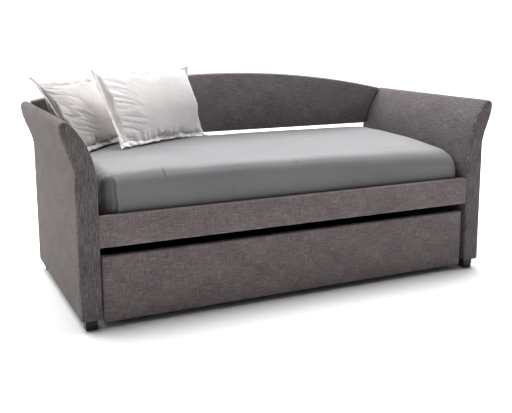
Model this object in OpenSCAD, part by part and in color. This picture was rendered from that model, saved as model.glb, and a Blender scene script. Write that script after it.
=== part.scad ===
// Upholstered daybed with a roll-out trundle below it.
// X runs along the length, Y from front to back, Z up.
// The origin is on the floor, below the middle of the bed.

/* [Bed] */
// Clear length between the two arms
inner_length = 2010; // [1990:5:2100]
// Depth from the front of the arms to the back of the back panel
bed_depth = 1058; // [1058:1:1080]
// Height of the feet
foot_h = 50; // [45:1:60]
// Width of a foot where it meets the arm
foot_w = 56; // [48:1:60]
// Distance of a foot from the outer and front faces of the arm
foot_inset = 21; // [16:1:24]

/* [Arms] */
// Thickness of an arm below the flare
arm_t = 95; // [90:1:110]
// Height of the top of the arms
arm_h = 933; // [930:1:936]
// How far the inner face leans out at the top
flare_in = 112; // [108:1:114]
// How far the outer face leans out at the top
flare_out = 56; // [54:1:60]
// Thickness of the padded cover round an arm
arm_pad = 15; // [12:1:16]

/* [Back panel] */
// Height of the lower edge of the back panel
back_bottom = 709; // [705:1:720]
// Height of the middle of the arched top
back_top = 1056; // [1054:1:1060]
// Radius of the arched top
back_radius = 5100; // [5050:10:5150]
// Thickness of the back panel
back_t = 42; // [42:1:44]

/* [Front rail] */
// Height of the top of the front rail
rail_top = 514; // [508:1:520]
// Height of the lower edge of the rails
rail_bottom = 373; // [366:1:380]
// Distance of the rail behind the front of the arms
rail_recess = 5.5; // [3:0.5:8]
// Thickness of the covered front rail
rail_t = 38; // [36:0.5:38]

/* [Slat deck] */
// Height of the top of the slats
deck_z = 475; // [470:1:480]
// Width of a slat
slat_w = 70; // [50:2:90]
// Thickness of a slat
slat_t = 18; // [15:1:20]
// Thickness of the board that closes the back below the deck
rear_board_t = 8; // [4:1:8]
// Number of slats in the bed
slat_n = 14; // [12:1:16]

/* [Trundle] */
// Height of the top of the trundle front
trundle_top = 331; // [310:1:340]
// Height of the lower edge of the trundle front
trundle_bottom = 25; // [20:1:30]
// Distance of the trundle front behind the front of the arms
trundle_recess = 24; // [20:1:28]
// Gap between the trundle front and each arm
trundle_gap = 8.4; // [6:0.2:10]
// Depth of the trundle behind its front
trundle_depth = 945; // [900:1:945]
// Height of the top edge of the trundle sides
tray_top = 210; // [180:1:240]
// Thickness of the dust panel under the trundle
dust_panel_t = 3; // [3:0.5:4]
// Number of slats in the trundle
trundle_slat_n = 12; // [10:1:14]

/* [Casters] */
// Radius of a caster wheel
wheel_r = 25; // [24:0.5:25]
// Width of a caster wheel
wheel_w = 20; // [18:0.5:21]

/* [Bedding] */
// Length of the mattress
mattress_l = 1950; // [1880:1:1955]
// Depth of the mattress
mattress_d = 965; // [940:1:965]
// Thickness of the mattress
mattress_t = 220; // [180:1:225]
// Sideways place of the mattress between the arms
mattress_shift = 8; // [0:1:20]
// Thickness of the front pillow
pillow_front_t = 150; // [100:5:150]
// Thickness of the rear pillow
pillow_rear_t = 120; // [80:5:130]

/* [Hidden] */
$fn = 48;
e = 0.01;
ho = inner_length / 2;
yf = -bed_depth / 2;
yb = bed_depth / 2;
facing_t = 12;
flare_z0 = 600;
crest_r = 25;
crest_x = ho + arm_t + flare_out - crest_r;
crest_z = arm_h - crest_r;
cav_top = crest_z - 8;
dust_t = 1.5;
low_rail_top = foot_h + dust_t + 40;
mid_rail = [380, 470];
top_rail = [crest_z - 63, crest_z - 20];
foot_x = ho + arm_t - foot_inset - foot_w / 2;
foot_y = yb - foot_inset - foot_w / 2;
rib_t = 18;
end_rib_t = 40;
wood = [0.66, 0.5, 0.34];
dark_wood = [0.3, 0.08, 0.07];
cloth = [0.42, 0.4, 0.39];
steel = [0.62, 0.63, 0.65];

// faces of the arms: distance from the middle plane at height z
function rise(z) = max(0, (z - flare_z0) / (arm_h - 3 - flare_z0));
function inner_x(z) = ho + flare_in * pow(rise(z), 2.8);
function inner_lean(z) = sqrt(1 + pow(flare_in * 2.8 * pow(rise(z), 1.8) / (arm_h - 3 - flare_z0), 2));
function soft(t) = let (c = min(1, max(0, t))) c * c * (3 - 2 * c);
function outer_x(z) = ho + arm_t + flare_out * soft((z - 690) / (crest_z - 690));

arm_outline = concat(
    [[inner_x(foot_h), foot_h]],
    [for (i = [0:12]) let (z = flare_z0 + i * (crest_z + 12 - flare_z0) / 12) [inner_x(z), z]],
    [for (a = [135:-15:0]) [crest_x + crest_r * cos(a), crest_z + crest_r * sin(a)]],
    [for (i = [1:10]) let (z = crest_z - i * (crest_z - 690) / 10) [outer_x(z), z]],
    [[outer_x(foot_h), foot_h]]
);
// hollow inside the cover, from height z0 up
function hollow_outline(z0) = concat(
    [[inner_x(z0) + arm_pad, z0]],
    [for (i = [0:10]) let (z = flare_z0 + i * (cav_top - flare_z0) / 10) [inner_x(z) + arm_pad * inner_lean(z), z]],
    [for (i = [0:8]) let (z = cav_top - i * (cav_top - 680) / 8) [outer_x(z) - arm_pad * 1.05, z]],
    [[outer_x(z0) - arm_pad * 1.05, z0]]
);

module along_y(y0, y1) translate([0, y1, 0]) rotate([90, 0, 0]) linear_extrude(y1 - y0) children();
module along_x(x0, x1) translate([x0, 0, 0]) rotate([90, 0, 90]) linear_extrude(x1 - x0) children();
module block(a, b) translate(a) cube(b - a);
module rod(p, axis, l, r) translate(p) rotate(axis == "x" ? [0, 90, 0] : axis == "y" ? [-90, 0, 0] : [0, 0, 0]) cylinder(h = l, r = r);
module hex(p, axis, l, r) translate(p) rotate(axis == "x" ? [0, 90, 0] : axis == "y" ? [-90, 0, 0] : [0, 0, 0]) cylinder(h = l, r = r, $fn = 6);
module sides(left) mirror([left ? 1 : 0, 0, 0]) children();
module both() { children(); mirror([1, 0, 0]) children(); }
module rect2(a, b, r) hull_free_rect(a, b, r);
module hull_free_rect(a, b, r) {
    translate([a[0] + r, a[1]]) square([b[0] - a[0] - 2 * r, b[1] - a[1]]);
    translate([a[0], a[1] + r]) square([b[0] - a[0], b[1] - a[1] - 2 * r]);
    for (x = [a[0] + r, b[0] - r], y = [a[1] + r, b[1] - r]) translate([x, y]) circle(r);
}

// ---- arms, drawn on the right and mirrored for the left ----
rib_y = [for (i = [1:4]) yf + facing_t + end_rib_t + i * (bed_depth - 2 * facing_t - 2 * end_rib_t) / 5];

module arm_rails_solid() {
    y0 = yf + facing_t;
    y1 = yb - facing_t;
    block([ho + arm_pad, y0, foot_h + dust_t], [ho + arm_t - arm_pad * 1.05, y1, low_rail_top]);
    block([ho + arm_pad, y0, mid_rail[0]], [ho + arm_pad + 30, y1, mid_rail[1]]);
    block([crest_x - 26, y0, top_rail[0]], [crest_x - 5, y1, top_rail[1]]);
}
module arm_bolt_holes() {
    bracket_arm_bolts();
    back_bolts_solid();
    foot_bolts_solid();
}
module arm_ribs(left) color(wood) sides(left) difference() {
    union() {
        along_y(yf + facing_t, yf + facing_t + end_rib_t) polygon(hollow_outline(low_rail_top));
        along_y(yb - facing_t - end_rib_t, yb - facing_t) polygon(hollow_outline(low_rail_top));
        for (y = rib_y) along_y(y - rib_t / 2, y + rib_t / 2) polygon(hollow_outline(low_rail_top));
    }
    arm_rails_solid();
    arm_bolt_holes();
}
module arm_rails(left) color(wood) sides(left) difference() {
    arm_rails_solid();
    arm_bolt_holes();
}
module arm_cover(left) color(cloth) sides(left) difference() {
    along_y(yf + facing_t, yb - facing_t) polygon(arm_outline);
    along_y(yf + facing_t - 1, yb - facing_t + 1) polygon(hollow_outline(foot_h - 1));
    arm_bolt_holes();
}
module arm_front_panel(left) color(cloth) sides(left) along_y(yf, yf + facing_t) polygon(arm_outline);
module arm_rear_panel(left) color(cloth) sides(left) along_y(yb - facing_t, yb) polygon(arm_outline);
module arm_dust_cover(left) color([0.1, 0.1, 0.1]) sides(left) difference() {
    block([ho + arm_pad, yf + facing_t, foot_h], [ho + arm_t - arm_pad * 1.05, yb - facing_t, foot_h + dust_t]);
    foot_bolts_solid();
}

// ---- feet ----
module foot_at(left, rear) {
    x = left ? -foot_x : foot_x;
    y = rear ? foot_y : -foot_y;
    w = foot_w / 2;
    color([0.08, 0.08, 0.08]) translate([x, y, 0]) difference() {
        intersection() {
            along_y(-w, w) polygon([[-w + 3, 2], [w - 3, 2], [w, foot_h], [-w, foot_h]]);
            along_x(-w, w) polygon([[-w + 3, 2], [w - 3, 2], [w, foot_h], [-w, foot_h]]);
        }
        translate([0, 0, 20]) cylinder(h = 40, r = 4);
        cylinder(h = 14, r = 1.5);
    }
}
module foot_bolts_solid() for (y = [-foot_y, foot_y]) rod([foot_x, y, 20], "z", 66, 4);
module foot_bolts() color(steel) both() foot_bolts_solid();
module foot_glides() color([0.2, 0.2, 0.2]) both() for (y = [-foot_y, foot_y]) {
    rod([foot_x, y, 0], "z", 2, 15);
    rod([foot_x, y, 1], "z", 13, 1.5);
}

// ---- back panel ----
arc_z = back_top - back_radius;
function arc_top(x, inset) = arc_z + sqrt(pow(back_radius - inset, 2) - x * x);
function back_side(inset) = [for (i = [0:10])
    let (z = back_bottom + inset + i * (crest_z + 10 - inset - back_bottom - inset) / 10)
    [inner_x(z) - 1 - inset * inner_lean(z), z]];
function flip(p) = [for (i = [len(p) - 1:-1:0]) [-p[i][0], p[i][1]]];
function back_outline(inset) = let (s = back_side(inset), xe = s[10][0] - 2)
    concat(s, [for (i = [0:40]) let (x = xe * (1 - i / 20)) [x, arc_top(x, inset)]], flip(s));
back_y0 = yb - back_t;
pad_front = 14;
back_frame_y = [back_y0 + pad_front, back_y0 + pad_front + 18];
back_bolt_y = back_frame_y[0] + 9;

module back_panel_cover() color(cloth) difference() {
    along_y(back_y0, yb - 2) polygon(back_outline(0));
    along_y(back_frame_y[0], yb) polygon(back_outline(12));
    both() back_bolts_solid();
}
module back_panel_frame() color(wood) difference() {
    intersection() {
        along_y(back_frame_y[0], back_frame_y[1]) polygon(back_outline(12));
        union() {
            block([-ho - 200, yf, back_bottom], [ho + 200, yb, back_bottom + 62]);
            for (i = [-4:4]) block([i * 230 - 25, yf, back_bottom], [i * 230 + 25, yb, back_top]);
            both() block([ho - 50, yf, back_bottom], [ho + 200, yb, back_top]);
            difference() {
                block([-ho - 200, yf, back_bottom + 120], [ho + 200, yb, back_top]);
                translate([0, yf - 1, arc_z]) rotate([-90, 0, 0]) cylinder(h = bed_depth + 2, r = back_radius - 62, $fn = 400);
            }
        }
    }
    both() back_bolts_solid();
}
module back_panel_board() color(wood) along_y(back_frame_y[1], yb - 2) polygon(back_outline(12));
module back_panel_rear_cover() color(cloth) along_y(yb - 2, yb) polygon(back_outline(0));
module back_bolts_solid() {
    for (z = [back_bottom + 36, back_bottom + 140]) {
        rod([ho - 50, back_bolt_y, z], "x", z > 800 ? 160 : 110, 3);
        rod([ho - 56, back_bolt_y, z], "x", 6, 6);
    }
}
module back_panel_bolts() color(steel) both() back_bolts_solid();

// ---- rails of the bed ----
ry0 = yf + rail_recess;
ry1 = ry0 + rail_t;
rail_end = ho - 0.5;
rear_y1 = yb - back_t - 8;
rear_y0 = rear_y1 - 24;
ledger_w = 25;
ledger_end = ho - 75;
// the cover wraps the front and the edges of the board, and the back of the board is bare
module rail_board_2d(more = 0) translate([ry0 + 12, rail_bottom + 10]) square([rail_t - 12 + more, rail_top - rail_bottom - 20]);
module front_rail_cover() color(cloth)
    along_x(-rail_end, rail_end) difference() { rect2([ry0, rail_bottom], [ry1, rail_top], 9); rail_board_2d(1); }
module front_rail_board() color(wood) difference() {
    along_x(-rail_end, rail_end) rail_board_2d();
    rail_bolts_solid();
}
module rear_rail() color(wood) difference() {
    block([-rail_end, rear_y0, rail_bottom], [rail_end, rear_y1, deck_z]);
    rail_bolts_solid();
    rear_board_screws_solid();
}
// closes the back between the arms, from just above the floor to just below the deck
module rear_board() color(dark_wood) difference() {
    block([-rail_end, rear_y1, foot_h + 6], [rail_end, rear_y1 + rear_board_t, deck_z - 5]);
    rear_board_screws_solid();
}
module rear_board_screws_solid() for (x = [-900:225:900], z = [deck_z - 70, deck_z - 30]) {
    rod([x, rear_y1 - 14, z], "y", 14 + rear_board_t, 2);
    rod([x, rear_y1 + rear_board_t - 2.5, z], "y", 2.5, 4);
}
module rear_board_screws() color(steel) rear_board_screws_solid();
module ledger(y0) block([-ledger_end, y0, deck_z - slat_t - 40], [ledger_end, y0 + ledger_w, deck_z - slat_t]);
module front_ledger() color(wood) difference() { ledger(ry1); slat_screws_solid(); }
module rear_ledger() color(wood) difference() { ledger(rear_y0 - ledger_w); slat_screws_solid(); }

bracket_z = [deck_z - 80, deck_z - 24];
function bolt_z() = [bracket_z[0] + 14, bracket_z[1] - 14];
module bracket(y, s) {
    // one leg along the rail, one along the arm
    block([ho - 62, min(y, y + 3 * s), bracket_z[0]], [ho, max(y, y + 3 * s), bracket_z[1]]);
    block([ho - 3, min(y, y + 62 * s), bracket_z[0]], [ho, max(y, y + 62 * s), bracket_z[1]]);
}
module rail_brackets() color(steel) both() difference() {
    union() { bracket(ry1, 1); bracket(rear_y0, -1); }
    rail_bolts_right();
}
module bracket_arm_bolts() {
    for (y = [ry1 + 42, rear_y0 - 42], z = bolt_z()) {
        rod([ho - 3 - e, y, z], "x", 46, 4);
        hex([ho - 8.5, y, z], "x", 5.5, 7.5);
    }
}
module rail_bolts_right() {
    for (z = bolt_z()) {
        rod([ho - 36, ry1 + 3 - 23, z], "y", 23 + e, 4);
        hex([ho - 36, ry1 + 3, z], "y", 5.5, 7.5);
        rod([ho - 36, rear_y0 - 3 - e, z], "y", 23, 4);
        hex([ho - 36, rear_y0 - 8.5, z], "y", 5.5, 7.5);
    }
    bracket_arm_bolts();
}
module rail_bolts_solid() both() rail_bolts_right();
module rail_bolts() color(steel) rail_bolts_solid();

// ---- slats of the bed ----
slat_span = 2 * (ho - 69);
slat_x = [for (i = [0:slat_n - 1]) -slat_span / 2 + i * slat_span / (slat_n - 1)];
module slats() color(wood) difference() {
    for (x = slat_x) block([x - slat_w / 2, ry1 + 1, deck_z - slat_t], [x + slat_w / 2, rear_y0 - 1, deck_z]);
    slat_screws_solid();
}
slat_screw_y = [ry1 + ledger_w / 2, rear_y0 - ledger_w / 2];
function screw_x(x) = sign(x) * min(abs(x), ledger_end - 12);
module slat_screws_solid() for (x = slat_x, y = slat_screw_y) {
    rod([screw_x(x), y, deck_z - 42], "z", 42, 2);
    rod([screw_x(x), y, deck_z - 3], "z", 3, 4);
}
module slat_screws() color(steel) slat_screws_solid();

// ---- trundle ----
ty0 = yf + trundle_recess;
ty1 = ty0 + 32;
tx = ho - trundle_gap;
tyb = ty0 + 32 + trundle_depth;
side_x = [ho - 45, ho - 27];
tray_bottom = 60;
deck_t = 98;
module trundle_board(more = 0) block([-tx + 10, ty0 + 10, trundle_bottom + 10], [tx - 10, ty1 + more, trundle_top - 10]);
module trundle_front_cover() color(cloth) difference() {
    along_x(-tx, tx) rect2([ty0, trundle_bottom], [ty1, trundle_top], 9);
    trundle_board(1);
}
module trundle_front_board() color(dark_wood) difference() { trundle_board(); trundle_screws_solid(); }
module trundle_side(left) color(dark_wood) sides(left) difference() {
    block([side_x[0], ty1, tray_bottom], [side_x[1], tyb - 18, tray_top]);
    trundle_screws_solid();
}
module trundle_back() color(dark_wood) difference() {
    block([-side_x[1], tyb - 18, tray_bottom], [side_x[1], tyb, tray_top]);
    trundle_screws_solid();
}
module trundle_dust_panel() color(dark_wood) difference() {
    block([-side_x[1], ty1, tray_bottom - dust_panel_t], [side_x[1], tyb, tray_bottom]);
    both() for (y = [ty1 - 1, tyb - 18 - cb]) block([side_x[0] - cb, y, tray_bottom - 10], [side_x[1] + 1, y + cb + (y < 0 ? 1 : 20), tray_bottom + 1]);
}
cb = 84;
cb_y = [ty1 + cb / 2, tyb - 18 - cb / 2];
module corner_blocks() color(dark_wood) difference() {
    both() for (y = cb_y) block([side_x[0] - cb, y - cb / 2, tray_bottom], [side_x[0], y + cb / 2, deck_t]);
    caster_screws_solid();
}
module trundle_ledgers() color(dark_wood) difference() {
    for (y = [ty1, tyb - 38]) block([-side_x[0] + cb, y, deck_t - 25], [side_x[0] - cb, y + 20, deck_t]);
    trundle_slat_screws_solid();
}
module trundle_centre_rail() color(dark_wood) block([-side_x[0], (ty1 + tyb) / 2 - 20, tray_bottom], [side_x[0], (ty1 + tyb) / 2 + 20, deck_t]);
tslat_x = [for (i = [0:trundle_slat_n - 1]) let (s = 2 * (side_x[0] - 40)) -s / 2 + i * s / (trundle_slat_n - 1)];
module trundle_slats() color(wood) difference() {
    for (x = tslat_x) block([x - 30, ty1 + 0.5, deck_t], [x + 30, tyb - 18.5, deck_t + 15]);
    trundle_slat_screws_solid();
}
module trundle_slat_screws_solid() for (x = tslat_x, y = [ty1 + 10, tyb - 28]) if (abs(x) < side_x[0] - cb - 20) {
    rod([x, y, deck_t - 17], "z", 32, 2);
    rod([x, y, deck_t + 12], "z", 3, 4);
}
module trundle_slat_screws() color(steel) trundle_slat_screws_solid();
module trundle_screws_solid() both() for (z = [90, 135, 180]) {
    rod([(side_x[0] + side_x[1]) / 2, ty0 + 13, z], "y", 65, 2.5);
    rod([(side_x[0] + side_x[1]) / 2, tyb - 55, z], "y", 55, 2.5);
}
module trundle_screws() color(steel) trundle_screws_solid();

// ---- casters ----
caster_x = side_x[0] - cb / 2;
cheek_in = 12;
module at_caster(left, rear) translate([left ? -caster_x : caster_x, cb_y[rear ? 1 : 0], wheel_r]) children();
module all_casters() for (l = [false, true], r = [false, true]) at_caster(l, r) children();
module caster_bracket() difference() {
    union() {
        block([-30, -30, tray_bottom - 2.5 - wheel_r], [30, 30, tray_bottom - wheel_r]);
        for (s = [-1, 1]) {
            along_x(s > 0 ? cheek_in : -cheek_in - 2.5, s > 0 ? cheek_in + 2.5 : -cheek_in) union() {
                polygon([[-22, tray_bottom - 2.5 - wheel_r], [22, tray_bottom - 2.5 - wheel_r], [8, 0], [-8, 0]]);
                circle(8);
            }
        }
    }
    rod([-20, 0, 0], "x", 40, 3);
    caster_screw_pattern();
}
module caster_screw_pattern() for (x = [-23, 23], y = [-23, 23]) {
    rod([x, y, tray_bottom - 2.5 - wheel_r - e], "z", 22, 2);
    rod([x, y, tray_bottom - 5 - wheel_r], "z", 2.5, 4);
}
module caster_brackets() color(steel) all_casters() caster_bracket();
module caster_axles() color(steel) all_casters() {
    rod([-16.5, 0, 0], "x", 33, 3);
    for (x = [-16.5, 14.5]) rod([x, 0, 0], "x", 2, 5);
}
module caster_screws_solid() all_casters() caster_screw_pattern();
module caster_screws() color(steel) caster_screws_solid();
module wheel_tyre() rotate([0, 90, 0]) rotate_extrude() polygon([
    [wheel_r - 6, -wheel_w / 2], [wheel_r - 1.5, -wheel_w / 2], [wheel_r, -wheel_w / 2 + 2.5],
    [wheel_r, wheel_w / 2 - 2.5], [wheel_r - 1.5, wheel_w / 2], [wheel_r - 6, wheel_w / 2]]);
module wheel_hub() rotate([0, 90, 0]) rotate_extrude() polygon([
    [3.05, -cheek_in + 0.7], [7, -cheek_in + 0.7], [7, -wheel_w / 2 + 3], [wheel_r - 9, -wheel_w / 2 + 3], [wheel_r - 9, -wheel_w / 2],
    [wheel_r - 6, -wheel_w / 2], [wheel_r - 6, wheel_w / 2], [wheel_r - 9, wheel_w / 2],
    [wheel_r - 9, wheel_w / 2 - 3], [7, wheel_w / 2 - 3], [7, cheek_in - 0.7], [3.05, cheek_in - 0.7]]);
module tyre_at(left, rear) color([0.12, 0.12, 0.12]) at_caster(left, rear) wheel_tyre();
module hub_at(left, rear) color([0.35, 0.35, 0.35]) at_caster(left, rear) wheel_hub();

// ---- bedding ----
mz0 = deck_z + 0.3;
mz1 = mz0 + mattress_t;
my0 = rear_y1 + 2.5 - mattress_d;
module mattress() color([0.62, 0.63, 0.65]) translate([mattress_shift, my0 + mattress_d / 2, 0]) intersection() {
    translate([0, 0, mz0]) linear_extrude(mattress_t) rect2([-mattress_l / 2, -mattress_d / 2], [mattress_l / 2, mattress_d / 2], 70);
    along_y(-mattress_d, mattress_d) soft_section(mattress_l);
    along_x(-mattress_l, mattress_l) soft_section(mattress_d);
}
module soft_section(w) union() {
    translate([-w / 2 + 45, mz0]) square([w - 90, mattress_t]);
    translate([-w / 2, mz0 + 30]) square([w, mattress_t - 75]);
    for (s = [-1, 1]) {
        translate([s * (w / 2 - 45), mz1 - 45]) circle(45);
        translate([s * (w / 2 - 30), mz0 + 30]) circle(30);
    }
}

// a pillow is a bent sheet through four corners, thick in the middle, with a flat border
pillow_border = 35;
edge_t = 5;
function mix(a, b, t) = a + (b - a) * t;
function bent(c, u, v) = mix(mix(c[0], c[1], (u + 1) / 2), mix(c[2], c[3], (u + 1) / 2), (v + 1) / 2);
function facing(c) = let (n = cross(c[3] - c[0], c[2] - c[1])) n / norm(n);
function spread(f, n) = concat([-1], [for (i = [0:n]) -f * cos(180 * i / n)], [1]);
function plump(t, u, v, fu, fv) = edge_t / 2 + (t - edge_t) / 2 * sqrt(max(0, 1 - pow(u / fu, 2))) * sqrt(max(0, 1 - pow(v / fv, 2)));
module pillow(c, t) {
    fu = 1 - 2 * pillow_border / norm(c[1] - c[0]);
    fv = 1 - 2 * pillow_border / norm(c[2] - c[0]);
    us = spread(fu, 12);
    vs = spread(fv, 10);
    nu = len(us);
    nv = len(vs);
    n = facing(c);
    m = nu * nv;
    pts = [for (s = [1, -1], i = [0:nu - 1], j = [0:nv - 1])
        bent(c, us[i], vs[j]) + s * n * plump(t, us[i], vs[j], fu, fv)];
    rim = concat([for (i = [0:nu - 1]) i * nv], [for (j = [1:nv - 1]) (nu - 1) * nv + j],
        [for (i = [nu - 2:-1:0]) i * nv + nv - 1], [for (j = [nv - 2:-1:1]) j]);
    front = [for (i = [0:nu - 2], j = [0:nv - 2], k = [0, 1]) let (a = i * nv + j)
        k == 0 ? [a, a + nv, a + nv + 1] : [a, a + nv + 1, a + 1]];
    back = [for (f = front) [f[2] + m, f[1] + m, f[0] + m]];
    r = len(rim);
    edge = [for (i = [0:r - 1], k = [0, 1]) let (a = rim[i], b = rim[(i + 1) % r])
        k == 0 ? [b, a, a + m] : [b, a + m, b + m]];
    polyhedron(points = pts, faces = [for (f = concat(front, back, edge)) [f[2], f[1], f[0]]], convexity = 4);
}
pz = mz1 + 6;
module pillow_rear() color([0.9, 0.89, 0.87]) pillow([[-968, 8, pz], [-635, 425, pz], [-1146, 121, 1056], [-795, 462, 1050]], pillow_rear_t);
module pillow_front() color([0.93, 0.92, 0.9]) pillow([[-741, 72, pz], [-142, 452, pz], [-853, 221, 1090], [-244, 456, 1096]], pillow_front_t);

arm_ribs(true);  // left_arm_ribs
arm_ribs(false);  // right_arm_ribs
arm_rails(true);  // left_arm_rails
arm_rails(false);  // right_arm_rails
arm_cover(true);  // left_arm_cover
arm_cover(false);  // right_arm_cover
arm_front_panel(true);  // left_arm_front_panel
arm_front_panel(false);  // right_arm_front_panel
arm_rear_panel(true);  // left_arm_rear_panel
arm_rear_panel(false);  // right_arm_rear_panel
arm_dust_cover(true);  // left_arm_dust_cover
arm_dust_cover(false);  // right_arm_dust_cover
foot_at(true, false);  // foot_front_left
foot_at(false, false);  // foot_front_right
foot_at(true, true);  // foot_rear_left
foot_at(false, true);  // foot_rear_right
foot_bolts();
foot_glides();
back_panel_cover();
back_panel_frame();
back_panel_board();
back_panel_rear_cover();
back_panel_bolts();
front_rail_cover();
front_rail_board();
front_ledger();
rear_rail();
rear_ledger();
rear_board();
rear_board_screws();
rail_brackets();
rail_bolts();
slats();
slat_screws();
trundle_front_cover();
trundle_front_board();
trundle_side(true);  // trundle_side_left
trundle_side(false);  // trundle_side_right
trundle_back();
corner_blocks();
trundle_ledgers();
trundle_centre_rail();
trundle_slats();
trundle_slat_screws();
trundle_screws();
trundle_dust_panel();
caster_brackets();
caster_axles();
caster_screws();
tyre_at(true, false);  // tyre_front_left
hub_at(true, false);  // hub_front_left
tyre_at(false, false);  // tyre_front_right
hub_at(false, false);  // hub_front_right
tyre_at(true, true);  // tyre_rear_left
hub_at(true, true);  // hub_rear_left
tyre_at(false, true);  // tyre_rear_right
hub_at(false, true);  // hub_rear_right
mattress();
pillow_rear();
pillow_front();
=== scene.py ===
import math

import bmesh
import bpy
import numpy as np
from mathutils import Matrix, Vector, noise
from mathutils.bvhtree import BVHTree


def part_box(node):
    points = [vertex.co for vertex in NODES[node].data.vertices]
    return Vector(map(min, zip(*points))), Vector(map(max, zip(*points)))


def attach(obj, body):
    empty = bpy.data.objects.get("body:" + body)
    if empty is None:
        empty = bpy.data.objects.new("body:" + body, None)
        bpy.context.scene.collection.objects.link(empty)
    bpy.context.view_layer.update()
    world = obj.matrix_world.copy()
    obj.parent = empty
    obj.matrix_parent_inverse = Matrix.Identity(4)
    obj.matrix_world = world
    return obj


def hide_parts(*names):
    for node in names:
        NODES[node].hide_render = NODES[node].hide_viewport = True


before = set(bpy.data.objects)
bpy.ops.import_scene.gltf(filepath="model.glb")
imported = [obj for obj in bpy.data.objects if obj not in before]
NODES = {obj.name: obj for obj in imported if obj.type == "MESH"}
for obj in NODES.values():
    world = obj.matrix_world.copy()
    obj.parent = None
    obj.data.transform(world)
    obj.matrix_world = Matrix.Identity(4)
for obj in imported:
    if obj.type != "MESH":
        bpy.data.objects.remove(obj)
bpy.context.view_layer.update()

scene = bpy.context.scene

# ---------------------------------------------------------------- shapes shared with the CAD model
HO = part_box("front_rail_cover")[1][0] + 0.0005      # half the clear length between the arms
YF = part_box("left_arm_front_panel")[0][1]           # front of the arms
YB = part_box("back_panel_rear_cover")[1][1]          # rear
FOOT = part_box("left_arm_front_panel")[0][2]
ARM_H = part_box("left_arm_front_panel")[1][2]
ARM_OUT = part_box("right_arm_front_panel")[1][0]
ARM_T, FLARE_IN, FLARE_OUT, FLARE_Z, CREST = 0.095, 0.112, 0.056, 0.600, 0.025
CREST_Z, CREST_X = ARM_H - CREST, ARM_OUT - CREST
FACING_T = 0.012


def inner_x(z):
    t = max(0.0, (z - FLARE_Z) / (ARM_H - 0.003 - FLARE_Z))
    return HO + FLARE_IN * t ** 2.8


def outer_x(z):
    t = min(1.0, max(0.0, (z - 0.690) / (CREST_Z - 0.690)))
    return HO + ARM_T + FLARE_OUT * t * t * (3 - 2 * t)


def arm_line():
    """Open outline of the right arm, from the bottom of the inner face over the crest to the bottom of the outer face."""
    p = [(inner_x(z), z) for z in np.linspace(FOOT, FLARE_Z, 12)]
    p += [(inner_x(z), z) for z in np.linspace(FLARE_Z, CREST_Z + 0.012, 40)[1:]]
    p += [(CREST_X + CREST * math.cos(math.radians(a)), CREST_Z + CREST * math.sin(math.radians(a))) for a in range(130, -1, -6)]
    p += [(outer_x(z), z) for z in np.linspace(CREST_Z, 0.690, 30)[1:]]
    p += [(outer_x(z), z) for z in np.linspace(0.690, FOOT, 12)[1:]]
    return np.array(p)


def even(line, step, closed=False):
    """The line resampled at an even spacing."""
    pts = np.vstack([line, line[:1]]) if closed else line
    seg = np.linalg.norm(np.diff(pts, axis=0), axis=1)
    at = np.concatenate([[0], np.cumsum(seg)])
    n = max(4, int(round(at[-1] / step)))
    want = np.linspace(0, at[-1], n + 1)
    if closed:
        want = want[:-1]
    return np.stack([np.interp(want, at, pts[:, k]) for k in range(pts.shape[1])], axis=1)


def inset(loop, d):
    """A closed loop moved inwards by d, with mitred corners. Anticlockwise or clockwise, the loop finds its own inside."""
    prev, nxt = np.roll(loop, 1, axis=0), np.roll(loop, -1, axis=0)
    a, b = loop - prev, nxt - loop
    a /= np.linalg.norm(a, axis=1)[:, None] + 1e-12
    b /= np.linalg.norm(b, axis=1)[:, None] + 1e-12
    na, nb = np.stack([-a[:, 1], a[:, 0]], 1), np.stack([-b[:, 1], b[:, 0]], 1)
    m = na + nb
    m /= np.maximum((m * na).sum(1), 0.25)[:, None] + 1e-9
    area = 0.5 * np.sum(loop[:, 0] * nxt[:, 1] - nxt[:, 0] * loop[:, 1])
    return loop + (d if area > 0 else -d) * m


# ---------------------------------------------------------------- mesh helpers
def make(name, verts, faces, cloth=None, smooth=True):
    me = bpy.data.meshes.new(name)
    me.from_pydata([tuple(map(float, v)) for v in verts], [], [list(map(int, f)) for f in faces])
    if cloth is not None:
        at = me.attributes.new("cloth", "FLOAT_VECTOR", "POINT")
        at.data.foreach_set("vector", np.asarray(cloth, dtype=np.float32).ravel())
    me.validate()
    me.update()
    ob = bpy.data.objects.new(name, me)
    scene.collection.objects.link(ob)
    bm = bmesh.new()
    bm.from_mesh(me)
    bmesh.ops.recalc_face_normals(bm, faces=bm.faces)
    bm.to_mesh(me)
    bm.free()
    for p in me.polygons:
        p.use_smooth = smooth
    return ob


def loops_solid(name, loops, clothes, smooth=True):
    """A closed solid through loops of the same count, with a flat cap at each end."""
    n = len(loops[0])
    verts = np.vstack(loops)
    faces = []
    for k in range(len(loops) - 1):
        for i in range(n):
            j = (i + 1) % n
            faces.append([k * n + i, k * n + j, (k + 1) * n + j, (k + 1) * n + i])
    faces.append(list(range(n - 1, -1, -1)))
    faces.append([(len(loops) - 1) * n + i for i in range(n)])
    return make(name, verts, faces, np.vstack(clothes), smooth)


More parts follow.
